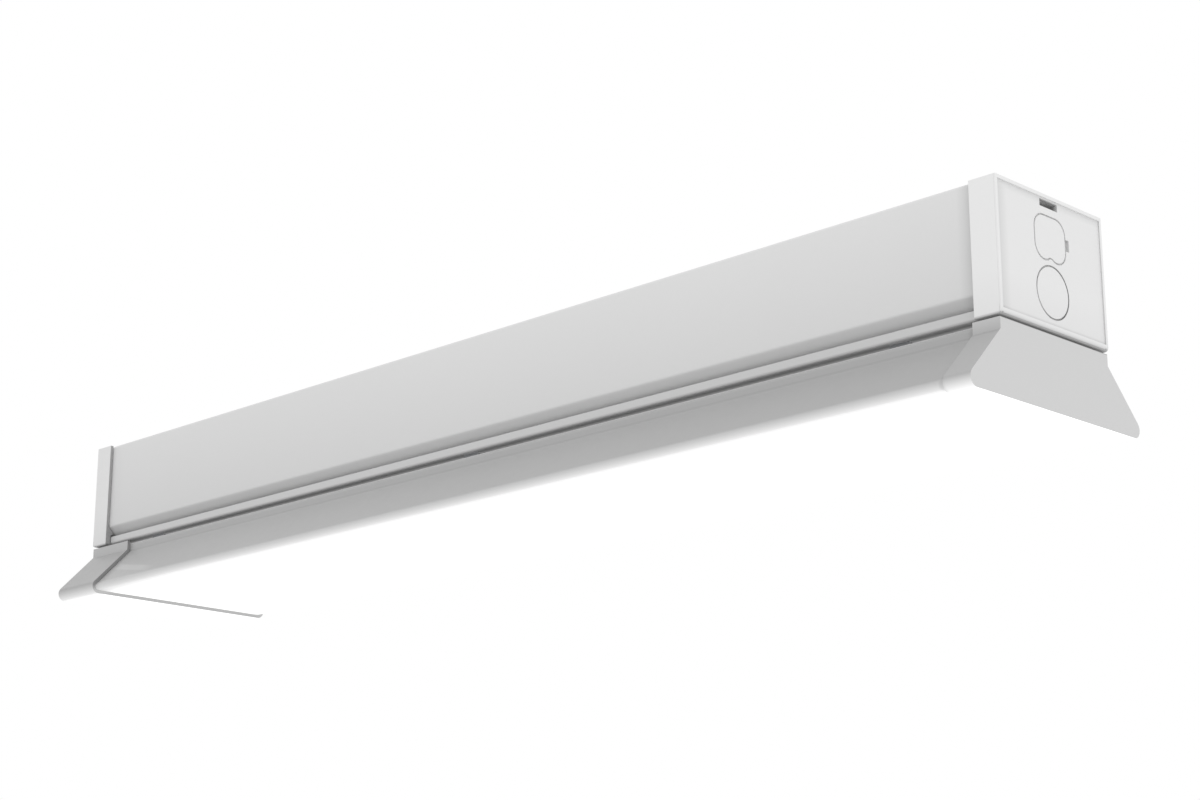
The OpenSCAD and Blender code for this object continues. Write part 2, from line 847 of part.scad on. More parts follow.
module driver_circuit_board() {
    board_margin = 8;
    color([0.1, 0.4, 0.2])
        translate([driver_left + board_margin, -driver_half + 1.6, driver_board_z])
            cube([driver_length - 2 * board_margin, driver_width - 3.2, driver_board_t]);
}

module driver_components() {
    base = driver_board_z + driver_board_t;
    tallest = driver_height - driver_wall - driver_post - driver_board_t - 1;
    transformer_width = driver_width * 0.62;
    choke_width = driver_width * 0.5;
    capacitor_r = driver_width * 0.19;
    film_width = driver_width * 0.38;
    color([0.9, 0.75, 0.2])
        translate([driver_left, 0, base]) {
            translate([driver_length * 0.42, -transformer_width / 2, 0])
                cube([transformer_width * 1.2, transformer_width, tallest]);
            translate([driver_length * 0.26, -choke_width / 2, 0])
                cube([choke_width, choke_width, tallest * 0.8]);
            for (share = [0.62, 0.68])
                translate([driver_length * share, 0, 0])
                    cylinder(h = tallest, r = capacitor_r);
            translate([driver_length * 0.14, -film_width / 2, 0])
                cube([film_width * 0.6, film_width, tallest * 0.7]);
            for (share = [0.78, 0.84])
                translate([driver_length * share, -film_width / 2, 0])
                    cube([film_width * 0.45, film_width, tallest * 0.75]);
        }
}

module driver_screws() {
    color([0.75, 0.75, 0.75])
        for (ear = driver_ears)
            translate([ear[0], ear[1] * ear_y, driver_base_top])
                pan_screw(screw_r, driver_wall + tray_sheet + 3);
}

// Terminal block: three poles, each with a lever on an axle and a wire entry at both ends
module terminal_block() {
    ear_length = 8;
    ear_t = 3;
    entry_depth = 8;
    pocket_floor = tray_top + terminal_height - lever_t - 0.3;
    color([0.9, 0.9, 0.88])
        difference() {
            union() {
                translate([terminal_left, -terminal_half, tray_top])
                    cube([terminal_length, 2 * terminal_half, terminal_height]);
                translate([terminal_x - ear_length / 2, -ear_reach, tray_top])
                    cube([ear_length, 2 * ear_reach, ear_t]);
            }
            for (pole = [-1 : 1]) {
                translate([terminal_left - over, pole * lever_pitch - pocket_width / 2, pocket_floor])
                    cube([pivot_x + hub_r + 0.4 - terminal_left + over, pocket_width, lever_t + 2 * over]);
                translate([pivot_x, pole * lever_pitch + pocket_width / 2, pivot_z])
                    rotate([90, 0, 0])
                        cylinder(h = pocket_width, r = hub_r + 0.3);
                translate([pivot_x, pole * lever_pitch + axle_length / 2 + 0.1, pivot_z])
                    rotate([90, 0, 0])
                        cylinder(h = axle_length + 0.2, r = axle_r + 0.05);
                rod_x(terminal_left - over, terminal_left + entry_depth, pole * lever_pitch, entry_z,
                    wire_r + seat_gap);
                rod_x(terminal_left + terminal_length - entry_depth, terminal_left + terminal_length + over,
                    pole * lever_pitch, entry_z, wire_r + 2 * seat_gap);
            }
            for (side = [-1, 1])
                translate([terminal_x, side * ear_y, tray_top - over])
                    cylinder(h = ear_t + 2 * over, r = screw_r + screw_fit);
        }
}

// Lever of one pole, with its axle: closed, it lies flush with the top of the block
module terminal_lever(pole) {
    blade_top = tray_top + terminal_height;
    tip_x = terminal_left + 1;
    grip_count = 4;
    translate([0, pole * lever_pitch, 0])
        difference() {
            union() {
                translate([tip_x, -lever_width / 2, blade_top - lever_t])
                    cube([pivot_x - tip_x, lever_width, lever_t]);
                translate([pivot_x, lever_width / 2, pivot_z])
                    rotate([90, 0, 0])
                        cylinder(h = lever_width, r = hub_r);
                translate([pivot_x, axle_length / 2, pivot_z])
                    rotate([90, 0, 0])
                        cylinder(h = axle_length, r = axle_r);
            }
            for (i = [0 : grip_count - 1])
                translate([tip_x + 1.2 + 1.4 * i, -lever_width / 2 - over, blade_top - 0.4])
                    cube([0.6, lever_width + 2 * over, 1]);
        }
}

module ground_lever() {
    color([0.25, 0.6, 0.3])
        terminal_lever(-1);
}

module line_lever() {
    color([0.9, 0.5, 0.15])
        terminal_lever(0);
}

module neutral_lever() {
    color([0.9, 0.5, 0.15])
        terminal_lever(1);
}

module terminal_screws() {
    color([0.75, 0.75, 0.75])
        for (side = [-1, 1])
            translate([terminal_x, side * ear_y, tray_top + 3])
                pan_screw(screw_r, 3 + tray_sheet + 3);
}

// Ground: ring lug on the tray under a hexagonal screw
module ground_screw() {
    color([0.2, 0.55, 0.3])
        translate([lug_x, ground_y, tray_top + lug_t]) {
            translate([0, 0, -lug_t - tray_sheet - 4])
                cylinder(h = lug_t + tray_sheet + 4.2, r = ground_screw_r);
            cylinder(h = 0.7, r = 3.4);
            difference() {
                translate([0, 0, 0.6])
                    cylinder(h = 2.4, r = 3, $fn = 6);
                translate([-3.5, -0.4, 2.2])
                    cube([7, 0.8, 2]);
            }
        }
}

barrel_length = 7;
module ground_lug() {
    color([0.8, 0.78, 0.6])
        difference() {
            union() {
                translate([lug_x, ground_y, tray_top])
                    cylinder(h = lug_t, r = lug_r);
                translate([lug_x, ground_y - 1.4, tray_top])
                    cube([lug_r + 2, 2.8, lug_t]);
                rod_x(lug_x + lug_r + 1, lug_x + lug_r + 1 + barrel_length, ground_y, tray_top + barrel_r, barrel_r);
            }
            translate([lug_x, ground_y, tray_top - over])
                cylinder(h = lug_t + 2 * over, r = ground_screw_r + screw_fit);
            rod_x(lug_x + lug_r + 3, lug_x + lug_r + 2 + barrel_length, ground_y, tray_top + barrel_r,
                wire_r + 0.1);
        }
}

// Wires, each along its route on the tray
supply_wire_y = 4;
lead_driver_y = 3;
driver_wire_z = driver_base_top + 3;
wire_rest_z = tray_top + wire_r + 0.1;

module supply_wire(pole, y) {
    wire([
        [terminal_left + 6, pole * lever_pitch, entry_z],
        [terminal_left - 4, pole * lever_pitch, entry_z],
        [terminal_left - 14, pole * lever_pitch, wire_rest_z + 0.4],
        [saddle_x[1] + 14, y, wire_rest_z],
        [saddle_x[1], y, wire_rest_z],
        [saddle_x[0], y, wire_rest_z],
        [driver_right + 8, y, wire_rest_z + 0.6],
        [driver_right, y, driver_wire_z],
        [driver_right - 4, y, driver_wire_z]
    ], wire_r);
}

module line_wire() {
    color([0.1, 0.1, 0.1])
        supply_wire(0, -supply_wire_y);
}

module neutral_wire() {
    color([0.95, 0.95, 0.95])
        supply_wire(1, supply_wire_y);
}

module ground_wire() {
    barrel_end = lug_x + lug_r + 1 + barrel_length;
    color([0.1, 0.55, 0.25])
        wire([
            [terminal_left + 6, -lever_pitch, entry_z],
            [terminal_left - 3, -lever_pitch, entry_z],
            [(terminal_left + barrel_end) / 2 + 1, (ground_y - lever_pitch) / 2 + 0.3, entry_z - 1],
            [barrel_end + 3, ground_y, tray_top + barrel_r],
            [barrel_end + 1, ground_y, tray_top + barrel_r],
            [barrel_end - 4, ground_y, tray_top + barrel_r]
        ], wire_r);
}

// Saddles that hold the supply wires down on the tray
module wire_saddles() {
    saddle_length = 5;
    saddle_height = wire_d + 1.7;
    saddle_half = supply_wire_y + wire_r + 2.4;
    color([0.92, 0.92, 0.92])
        for (x = saddle_x)
            difference() {
                translate([x - saddle_length / 2, -saddle_half, tray_top])
                    cube([saddle_length, 2 * saddle_half, saddle_height]);
                for (side = [-1, 1]) {
                    rod_x(x - saddle_length, x + saddle_length, side * supply_wire_y, wire_rest_z, wire_r + 0.2);
                    translate([x - saddle_length, side * supply_wire_y - wire_r - 0.2, tray_top - over])
                        cube([2 * saddle_length, wire_d + 0.4, wire_r + over]);
                }
            }
}

// Leads from the driver's left end, down through the grommet, to the LED boards' connector
lead_grommet_y = 1.25;
connector_length = 10;
connector_height = 4.4;
connector_left = -board_outer + 2;
connector_wire_z = board_under - connector_height / 2;

module led_lead(side) {
    y = side * lead_grommet_y;
    wire([
        [driver_left + 4, side * lead_driver_y, driver_wire_z],
        [driver_left - 4, side * lead_driver_y, driver_wire_z],
        [driver_left - 16, side * lead_driver_y, tray_top + lead_r + 0.3],
        [grommet_x + 14, y, tray_top + lead_r + 1],
        [grommet_x + 6, y, tray_top + lead_r + 2.4],
        [grommet_x + 1, y, tray_top + lead_r + 2],
        [grommet_x - 0.3, y, tray_under],
        [grommet_x + 1.6, y, connector_wire_z + 0.9],
        [grommet_x + 6, y, connector_wire_z],
        [connector_left + 4, y, connector_wire_z]
    ], lead_r);
}

module positive_lead() {
    color([0.75, 0.12, 0.1])
        led_lead(1);
}

module negative_lead() {
    color([0.1, 0.2, 0.6])
        led_lead(-1);
}

// Rubber grommet round the leads, gripping the edge of the tray's hole
grommet_neck_r = 4.2;
module wire_grommet() {
    bore_r = 2.9;
    flange_r = grommet_neck_r + 1.4;
    flange_t = 1.1;
    color([0.12, 0.12, 0.12])
        translate([grommet_x, 0, 0])
            rotate_extrude()
                polygon([
                    [bore_r, tray_under - flange_t],
                    [flange_r, tray_under - flange_t],
                    [flange_r, tray_under],
                    [grommet_neck_r, tray_under],
                    [grommet_neck_r, tray_top],
                    [flange_r, tray_top],
                    [flange_r, tray_top + flange_t],
                    [bore_r, tray_top + flange_t]
                ]);
}

// LED boards under the tray, end to end
module led_board(side) {
    color([0.97, 0.97, 0.95])
        difference() {
            translate([side > 0 ? board_gap / 2 : -board_outer, -board_width / 2, board_under])
                cube([board_length, board_width, board_t]);
            translate([side * board_screw_x, 0, board_under - over])
                cylinder(h = board_t + 2 * over, r = screw_r + screw_fit);
        }
}

module left_led_board() {
    led_board(-1);
}

module right_led_board() {
    led_board(1);
}

module led_packages() {
    first = board_gap / 2 + 12;
    last = board_screw_x - 7;
    count = floor((last - first) / led_pitch) + 1;
    color([0.98, 0.9, 0.5])
        for (side = [-1, 1])
            for (i = [0 : count - 1])
                translate([side * (first + i * led_pitch) - led_length / 2, -led_width / 2, board_under - led_height])
                    cube([led_length, led_width, led_height]);
}

module board_connector() {
    color([0.95, 0.95, 0.9])
        difference() {
            translate([connector_left, -4.5, board_under - connector_height])
                cube([connector_length, 9, connector_height]);
            for (side = [-1, 1])
                rod_x(connector_left - over, connector_left + 6, side * lead_grommet_y, connector_wire_z,
                    lead_r + 0.15);
        }
}

module board_bridge() {
    bridge_length = board_gap + 14;
    bridge_width = board_width * 0.35;
    bridge_height = 3;
    color([0.95, 0.95, 0.9])
        translate([-bridge_length / 2, -bridge_width / 2, board_under - bridge_height])
            cube([bridge_length, bridge_width, bridge_height]);
}

module board_screws() {
    color([0.75, 0.75, 0.75])
        for (side = [-1, 1])
            translate([side * board_screw_x, 0, board_under])
                rotate([180, 0, 0])
                    pan_screw(screw_r, board_t + tray_sheet + 2);
}

// Spring clips that hold the lens by its turned-in lips, drawn pressed in
module lens_clips() {
    nose = lip_inner - seat_gap;
    back = nose - 1;
    nose_z = lens_top_z - lens_wall - 0.7;
    foot = tray_under - spring_t;
    color([0.75, 0.76, 0.78])
        difference() {
            for (x = clip_x)
                for (side = [-1, 1])
                    scale([1, side, 1])
                        along_x(x - clip_length / 2, x + clip_length / 2)
                            polygon([
                                [clip_foot_y, tray_under],
                                [back, tray_under],
                                [back, nose_z + 1.2],
                                [nose, nose_z],
                                [back, nose_z - 1.8],
                                [back - 0.4, tray_under - clip_height],
                                [back - 0.4 - spring_t, tray_under - clip_height],
                                [back - spring_t, nose_z - 1.8],
                                [nose - spring_t, nose_z],
                                [back - spring_t, nose_z + 1.2],
                                [back - spring_t, foot],
                                [clip_foot_y, foot]
                            ]);
            for (x = clip_x)
                for (side = [-1, 1])
                    translate([x, side * clip_rivet_y, foot - over])
                        cylinder(h = spring_t + 2 * over, r = rivet_r);
        }
}

module lens_clip_rivets() {
    color([0.7, 0.7, 0.72])
        for (x = clip_x)
            for (side = [-1, 1])
                translate([x, side * clip_rivet_y, tray_under - spring_t])
                    rivet(rivet_r, tray_sheet + spring_t, rivet_head_r, rivet_head_h);
}

// Lens: neck, 45 degree flare, rounded feet and a level underside, with a lip along each top edge
lens_flare = [
    [lens_half, crease_z],
    [lens_foot_half, lens_under_z],
    [-lens_foot_half, lens_under_z],
    [-lens_half, crease_z]
];
lens_path = concat(
    [[lip_inner, lens_top_z], [lens_half, lens_top_z]],
    lens_flare,
    [[-lens_half, lens_top_z], [-lip_inner, lens_top_z]]
);
lens_radii = [0.6 + lens_wall, lens_crease_r, lens_foot_r, lens_foot_r, lens_crease_r, 0.6 + lens_wall];

module lens() {
    color([0.97, 0.97, 0.97, 0.8])
        along_x(-lens_x, lens_x)
            wall_section(lens_path, lens_radii, 0, -lens_wall);
}

// Lens cap: a sleeve round the lens's end, the end wall, and a rib that plugs into the lens
sleeve_top = -body_height - sleeve_gap;
sleeve_path = concat([[lens_half, sleeve_top]], lens_flare, [[-lens_half, sleeve_top]]);
sleeve_radii = [lens_crease_r, lens_foot_r, lens_foot_r, lens_crease_r];
plug_top = lens_top_z - lens_wall - 1;
plug_path = concat([[lens_half, plug_top]], lens_flare, [[-lens_half, plug_top]]);
plug_off = -lens_wall - sleeve_clearance;
plug_foot_r = plug_t - plug_off + 0.3;
plug_radii = [lens_crease_r, plug_foot_r, plug_foot_r, lens_crease_r];

module lens_cap(length) {
    color([0.95, 0.95, 0.95, 0.9]) {
        along_x(lens_face_x - length, lens_face_x)
            wall_section(sleeve_path, sleeve_radii, sleeve_proud, sleeve_clearance);
        along_x(lens_face_x - lens_end_wall, lens_face_x)
            polygon(folded(sleeve_path, sleeve_radii, sleeve_clearance + 0.1));
        along_x(lens_x - plug_length, lens_face_x - lens_end_wall / 2)
            wall_section(plug_path, plug_radii, plug_off, plug_off - plug_t);
    }
}

module left_lens_cap() {
    mirror([1, 0, 0])
        lens_cap(left_sleeve_length);
}

module right_lens_cap() {
    lens_cap(right_sleeve_length);
}

channel();
left_end_cap();
right_end_cap();
hinge_leaves();
hinge_pins();
supply_bushing();
gear_tray();
tray_latches();
latch_rivets();
driver_base();
driver_case();
driver_circuit_board();
driver_components();
driver_screws();
terminal_block();
ground_lever();
line_lever();
neutral_lever();
terminal_screws();
ground_screw();
ground_lug();
ground_wire();
line_wire();
neutral_wire();
wire_saddles();
positive_lead();
negative_lead();
wire_grommet();
left_led_board();
right_led_board();
led_packages();
board_connector();
board_bridge();
board_screws();
lens_clips();
lens_clip_rivets();
lens();
left_lens_cap();
right_lens_cap();
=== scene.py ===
"""Looks of a lit ceiling strip light, seen from below its near end.

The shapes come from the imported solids. Each node gets a copy that stands for it: welded, its flat
faces joined up and its shading weighted by face. The nodes in EDGE_WIDTHS get their sharp edges
rounded too. The LEDs get bodies, windows and solder of their own instead.

The near end is the one at +X, and the hinge side is the one at +Y.
"""

import itertools
import json
import math

import bmesh
import bpy
from mathutils import Matrix, Vector


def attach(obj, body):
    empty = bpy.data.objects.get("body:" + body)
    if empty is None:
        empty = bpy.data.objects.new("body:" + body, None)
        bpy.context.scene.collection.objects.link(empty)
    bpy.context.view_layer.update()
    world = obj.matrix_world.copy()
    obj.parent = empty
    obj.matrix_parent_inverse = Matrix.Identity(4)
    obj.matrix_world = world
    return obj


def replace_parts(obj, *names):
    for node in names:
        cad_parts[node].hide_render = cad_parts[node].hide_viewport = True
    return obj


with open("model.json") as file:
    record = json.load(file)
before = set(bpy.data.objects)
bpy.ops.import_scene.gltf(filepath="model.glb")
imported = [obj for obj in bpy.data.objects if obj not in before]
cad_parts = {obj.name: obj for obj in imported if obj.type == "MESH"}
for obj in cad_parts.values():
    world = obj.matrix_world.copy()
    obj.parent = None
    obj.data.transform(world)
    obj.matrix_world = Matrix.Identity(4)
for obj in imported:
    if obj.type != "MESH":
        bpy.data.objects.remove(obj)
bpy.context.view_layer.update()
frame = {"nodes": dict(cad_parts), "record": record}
MM = 0.001
BODY_OF = {n: b for b, names in frame["record"]["behaviour"]["bodies"].items() for n in names}
SLOT_OF = {s["node"]: s["material_slot"] for s in frame["record"]["subparts"]}


# Camera

# The focal length and sensor width are in mm, the rest in metres. The three directions are given
# along the object's axes.
FOCAL_LENGTH, SENSOR_WIDTH = 69.875, 36.0
CLIP_NEAR, CLIP_FAR = 0.01, 100.0
EYE = (0.78747, -0.73680, -0.32198)
PICTURE_RIGHT = (0.709319906, 0.70488644, -0.000614419)
PICTURE_DOWN = (-0.188433775, 0.188778874, -0.963771367)
VIEW_AHEAD = (-0.679233379, 0.683737993, 0.266729027)


def make_camera():
    """The photograph's view: from below, past the near end."""
    data = bpy.data.cameras.new("photo_camera")
    data.lens = FOCAL_LENGTH
    data.sensor_width = SENSOR_WIDTH
    data.clip_start, data.clip_end = CLIP_NEAR, CLIP_FAR
    cam = bpy.data.objects.new("photo_camera", data)
    axes = (Vector(PICTURE_RIGHT), -Vector(PICTURE_DOWN), -Vector(VIEW_AHEAD))
    turn = Matrix(axes).transposed().to_4x4()
    cam.matrix_world = Matrix.Translation(EYE) @ turn
    bpy.context.scene.collection.objects.link(cam)
    bpy.context.scene.camera = cam


# Materials

# Where the end caps' rims, faces and the panels behind their grooves lie along X, in mm.
CAP_RIM, CAP_FACE, CAP_PANEL = 305.0, 304.3, 302.5

# How far below the ceiling face the lens's top lies and its flares start, in mm.
LENS_TOP, FLARE_TOP = 57.9, 63.0

# How fine each texture is, as the scale of its noise: drifts of tone and patches of gloss, the
# grains of coats and plastics, and the relief, lines and crystals of metal and acrylic.
PAINT_DRIFT, ACRYLIC_DRIFT, METAL_DRIFT, FLOOR_DRIFT = 9.0, 14.0, 60.0, 3.0
PAINT_GLOSS, ACRYLIC_GLOSS = 160.0, 220.0
PAINT_GRAIN, MOULDED_GRAIN, PLASTIC_GRAIN, RUBBER_GRAIN = 1400.0, 2600.0, 2200.0, 1500.0
BOARD_GRAIN, INSULATION_GRAIN, FROST_GRAIN, PHOSPHOR_GRAIN = 900.0, 700.0, 2200.0, 800.0
METAL_RELIEF, DIE_LINES, ZINC_CRYSTALS = 900.0, 700.0, 420.0

# How high the grains stand, and the relief and lines.
GRAIN_HEIGHT, RELIEF_HEIGHT = 0.04 * MM, 0.03 * MM

# The first LED's distance from the middle, and the step from one LED to the next.
LED_FIRST, LED_PITCH = 13.0 * MM, 11.0 * MM


def grey(v):
    return (v, v, v)


def shade(colour, k):
    return tuple(min(1.0, c * k) for c in colour)


class Shader:
    """A material's node tree, with short calls for the nodes used here."""

    def __init__(self, name):
        self.material = bpy.data.materials.new(name)
        self.material.use_nodes = True
        self.tree = self.material.node_tree
        self.tree.nodes.clear()
        self.out = self.tree.nodes.new("ShaderNodeOutputMaterial")
        self.bsdf = self.tree.nodes.new("ShaderNodeBsdfPrincipled")
        self.link(self.bsdf.outputs[0], self.out.inputs["Surface"])
        self.coords = self.tree.nodes.new("ShaderNodeTexCoord")

    def link(self, a, b):
        self.tree.links.new(a, b)

    def set(self, **values):
        for name, value in values.items():
            self.bsdf.inputs[name.replace("_", " ")].default_value = value

    def paint(self, colour):
        self.tone = colour
        self.link(colour, self.bsdf.inputs["Base Color"])

    def dim(self, mask, share):
        """Brings the tone to a share of itself where the mask is 1."""
        self.paint(self.scaled(self.tone, self.grade(mask, 1.0, share)))

    def roughen(self, amount):
        self.link(amount, self.bsdf.inputs["Roughness"])

    def glow(self, strength):
        self.link(self.mix(strength, grey(0.0), grey(1.0)), self.bsdf.inputs["Emission Color"])
        self.set(Emission_Strength=1.0)

    def bump(self, height, strength, distance):
        node = self.tree.nodes.new("ShaderNodeBump")
        node.inputs["Strength"].default_value = strength
        node.inputs["Distance"].default_value = distance
        self.link(height, node.inputs["Height"])
        self.link(node.outputs[0], self.bsdf.inputs["Normal"])

    def part_of(self, vector, axis):
        node = self.tree.nodes.new("ShaderNodeSeparateXYZ")
        self.link(vector, node.inputs[0])
        return node.outputs[axis]

    def point(self):
        return self.coords.outputs["Object"]

    def place(self, axis):
        """How far along an axis of the object a point lies."""
        return self.part_of(self.point(), axis)

    def normal(self, axis):
        return self.part_of(self.coords.outputs["Normal"], axis)

    def stretched(self, scale):
        node = self.tree.nodes.new("ShaderNodeMapping")
        node.inputs["Scale"].default_value = scale
        self.link(self.point(), node.inputs["Vector"])
        return node.outputs[0]

    def noise(self, scale, detail=3.0, rough=0.5, vector=None):
        node = self.tree.nodes.new("ShaderNodeTexNoise")
        node.inputs["Scale"].default_value = scale
        node.inputs["Detail"].default_value = detail
        node.inputs["Roughness"].default_value = rough
        self.link(vector or self.point(), node.inputs["Vector"])
        return node.outputs["Fac"]

    def math(self, op, a, b=0.0):
        node = self.tree.nodes.new("ShaderNodeMath")
        node.operation = op
        for value, socket in ((a, node.inputs[0]), (b, node.inputs[1])):
            if isinstance(value, (int, float)):
                socket.default_value = value
            else:
                self.link(value, socket)
        return node.outputs[0]

    def product(self, first, *others):
        for other in others:
            first = self.math("MULTIPLY", first, other)
        return first

    def plus(self, a, b):
        return self.math("ADD", a, b)

    def minus(self, a, b):
        return self.math("SUBTRACT", a, b)

    def larger(self, a, b):
        return self.math("MAXIMUM", a, b)

    def absolute(self, value):
        return self.math("ABSOLUTE", value)

    def scaled(self, colour, factor):
        node = self.tree.nodes.new("ShaderNodeVectorMath")
        node.operation = "SCALE"
        self.link(colour, node.inputs[0])
        self.link(factor, node.inputs["Scale"])
        return node.outputs[0]

    def mix(self, fac, a, b):
        node = self.tree.nodes.new("ShaderNodeMix")
        node.data_type = "RGBA"
        self.link(fac, node.inputs["Factor"])
        for value, socket in ((a, node.inputs[6]), (b, node.inputs[7])):
            if isinstance(value, tuple):
                socket.default_value = (*value, 1.0)
            else:
                self.link(value, socket)
        return node.outputs[2]

    def mottled(self, fac, colour, low, high):
        """A colour between two shares of itself."""
        return self.mix(fac, shade(colour, low), shade(colour, high))

    def grade(self, fac, first, last, start=0.0, end=1.0, smooth=False):
        """Goes from first to last as fac goes from start to end, and stays level outside them."""
        node = self.tree.nodes.new("ShaderNodeMapRange")
        node.interpolation_type = "SMOOTHSTEP" if smooth else "LINEAR"
        ends = {"From Min": start, "From Max": end, "To Min": first, "To Max": last}
        for name, value in ends.items():
            node.inputs[name].default_value = value
        self.link(fac, node.inputs["Value"])
        return node.outputs["Result"]

    def along(self, place, first, last, start, end):
        """Goes from first to last between two places, which are in mm."""
        return self.grade(place, first, last, start * MM, end * MM)

    def rise(self, place, start, end):
        """0 up to start and 1 from end on, in mm."""
        return self.along(place, 0.0, 1.0, start, end)

    def fall(self, place, start, end):
        """1 up to start and 0 from end on, in mm."""
        return self.along(place, 1.0, 0.0, start, end)

    def between(self, place, low, high, soft):
        """1 from low to high, falling to 0 over soft outside them, in mm."""
        return self.product(self.rise(place, low - soft, low), self.fall(place, high, high + soft))

    def facing(self, axis, sense, low=0.6, high=0.9):
        """1 on faces that look along an axis, 0 on the rest."""
        return self.grade(self.product(self.normal(axis), sense), 0.0, 1.0, low, high)


def tinted(name, colour, rough):
    """Paint, lacquer or plastic, with a faint drift of tone and an uneven gloss."""
    s = Shader(name)
    s.paint(s.mottled(s.noise(PAINT_DRIFT, 2.0), colour, 0.985, 1.015))
    s.roughen(s.grade(s.noise(PAINT_GLOSS), rough - 0.05, rough + 0.07))
    return s


def coated(name, colour, rough, grain=PAINT_GRAIN, depth=0.25):
    """Powder coat, lacquer, plastic or rubber, with a fine even grain."""
    s = tinted(name, colour, rough)
    s.bump(s.noise(grain, 2.0), depth, GRAIN_HEIGHT)
    return s


def channel_paint():
    """White powder coat, with painted shade down its side, below its bend, towards the far end and
    beside the near cap, painted light by the far cap, and a faint painted glow inside its top."""
    s = coated("powder_coat_channel", grey(0.768), 0.38)
    x, z = s.place("X"), s.place("Z")
    bend, far_end, near_end, inner_top = -46.0, -290.0, 285.0, -1.5
    shade_down_side, shade_below_bend = s.fall(z, bend, 0.0), s.fall(z, bend - 1.0, bend)
    shade_to_far, light_by_far_cap = s.fall(x, far_end, 250.0), s.fall(x, far_end - 2.0, far_end + 2.0)
    shade_by_near_cap = s.rise(x, near_end, near_end + 6.0)
    # Painted shade down the side, below the bend, towards the far end and beside the near cap;
    # painted light beside the far cap.
    s.dim(shade_down_side, 0.91)
    s.dim(shade_below_bend, 0.95)
    s.dim(shade_to_far, 0.93)
    s.dim(light_by_far_cap, 1.09)
    s.dim(shade_by_near_cap, 0.85)
    # A faint painted glow on the inside of the top.
    s.glow(s.product(s.facing("Z", -1.0), s.along(z, 0.0, 0.06, inner_top, inner_top + 0.3)))
    return s


def tray_paint():
    """White powder coat, with painted shade at its lower edge and on its underside, and a painted
    glow on its underside for the light of the lens below.
    """
    s = coated("powder_coat_tray", grey(0.6), 0.38)
    z, side = s.place("Z"), s.absolute(s.place("Y"))
    sheet_low, lens_side = -55.5, 27.2
    shaded_low_edge = s.fall(z, sheet_low + 0.1, sheet_low + 0.9)
    underside = s.product(s.facing("Z", -1.0), s.fall(z, sheet_low, sheet_low + 0.3))
    # Painted shade at the lower edge and on the underside, and a painted glow on the underside for
    # the lens's light.
    s.dim(shaded_low_edge, 0.86)
    s.dim(underside, 0.85)
    s.glow(s.product(underside, s.along(side, 0.18, 0.008, lens_side, lens_side + 2.6)))
    return s


def outward(s, value):
    """A value with its sign changed on the far cap, which is the near one turned round."""
    return s.product(value, s.math("SIGN", s.place("X")))


def cap_plastic():
    """Moulded plastic, with painted shade in its grooves, along its recess, at its mouth and foot,
    down its lower third and over the far cap, and a painted highlight on its rim."""
    s = coated("moulded_cap", grey(0.86), 0.44, MOULDED_GRAIN, 0.3)
    x, z = s.place("X"), s.place("Z")
    shade_outlines(s)
    shade_recess(s)
    looks_in = s.grade(outward(s, s.normal("X")), 1.0, 0.0, -0.8, -0.4)
    mouth = s.product(looks_in, s.fall(s.absolute(x), 293.0, 294.0))
    foot, shaded_lower_third = s.fall(z, -56.9, -55.1), s.fall(z, -56.0, -38.0)
    far_cap = s.fall(x, -CAP_RIM, 0.0)
    # Painted shade at the mouth, under the foot, down the lower third and over the far cap.
    s.dim(mouth, 0.52)
    s.dim(foot, 0.18)
    s.dim(shaded_lower_third, 0.95)
    s.dim(far_cap, 0.88)
    return s


def shade_outlines(s):
    """Painted shade in the grooves, less in the upper outline's, and in the lower one's more at its
    right and less at its lower left, as light from one side would fall."""
    end, side, z = s.absolute(s.place("X")), s.absolute(s.place("Y")), s.place("Z")
    across = outward(s, s.place("Y"))
    parting, upper_floor = -29.0, 303.35
    middle = s.product(s.between(side, -1.0, 20.0, 1.0), s.between(z, -53.0, -2.0, 0.1))
    cut = s.product(middle, s.between(end, CAP_PANEL, CAP_FACE - 0.15, 0.1))
    upper = s.product(cut, s.rise(z, parting, parting + 1.0),
                      s.rise(end, upper_floor, upper_floor + 0.1))
    lower = s.product(cut, s.fall(z, parting, parting + 0.5))
    right = s.rise(across, 1.0, 7.0)
    low_left = s.product(s.fall(across, -8.0, -2.0), s.fall(z, -43.0, -37.0))
    # Painted shade in the grooves, lightened and deepened in parts as light from one side would
    # fall.
    s.dim(cut, 0.7)
    s.dim(upper, 1.2)
    s.dim(s.product(lower, right), 0.62)
    s.dim(s.product(lower, low_left), 1.15)


def shade_recess(s):
    """Painted shade along the edges of the recessed face and on the side walls of the rim round it,
    and a painted highlight on the rim.
    """
    end, side, z = s.absolute(s.place("X")), s.absolute(s.place("Y")), s.place("Z")
    across = outward(s, s.place("Y"))
    face = s.between(end, CAP_FACE - 0.08, CAP_FACE + 0.08, 0.04)
    left_or_top = s.larger(s.fall(across, -33.5, -28.5), s.along(z, 0.0, 0.7, -4.8, -2.4))
    bottom = s.fall(z, -53.9, -52.2)
    wall = s.product(s.between(end, CAP_FACE + 0.12, CAP_RIM - 0.3, 0.04),
                     s.between(side, 34.6, 35.3, 0.1))
    rim = s.rise(end, CAP_RIM - 0.15, CAP_RIM - 0.05)
    # Painted shade on the face's edges and the rim's side walls; a painted highlight on the rim.
    s.dim(s.product(left_or_top, face), 0.87)
    s.dim(s.product(bottom, face), 0.76)
    s.dim(wall, 0.64)
    s.dim(rim, 1.04)


def bare_metal(name, stretch):
    """A metal with a fine relief, finest along the axis of the largest stretch. Returns both."""
    s = Shader(name)
    s.set(Metallic=1.0)
    relief = s.noise(METAL_RELIEF, 4.0, 0.6, s.stretched(stretch))
    s.bump(relief, 0.12, RELIEF_HEIGHT)
    return s, relief


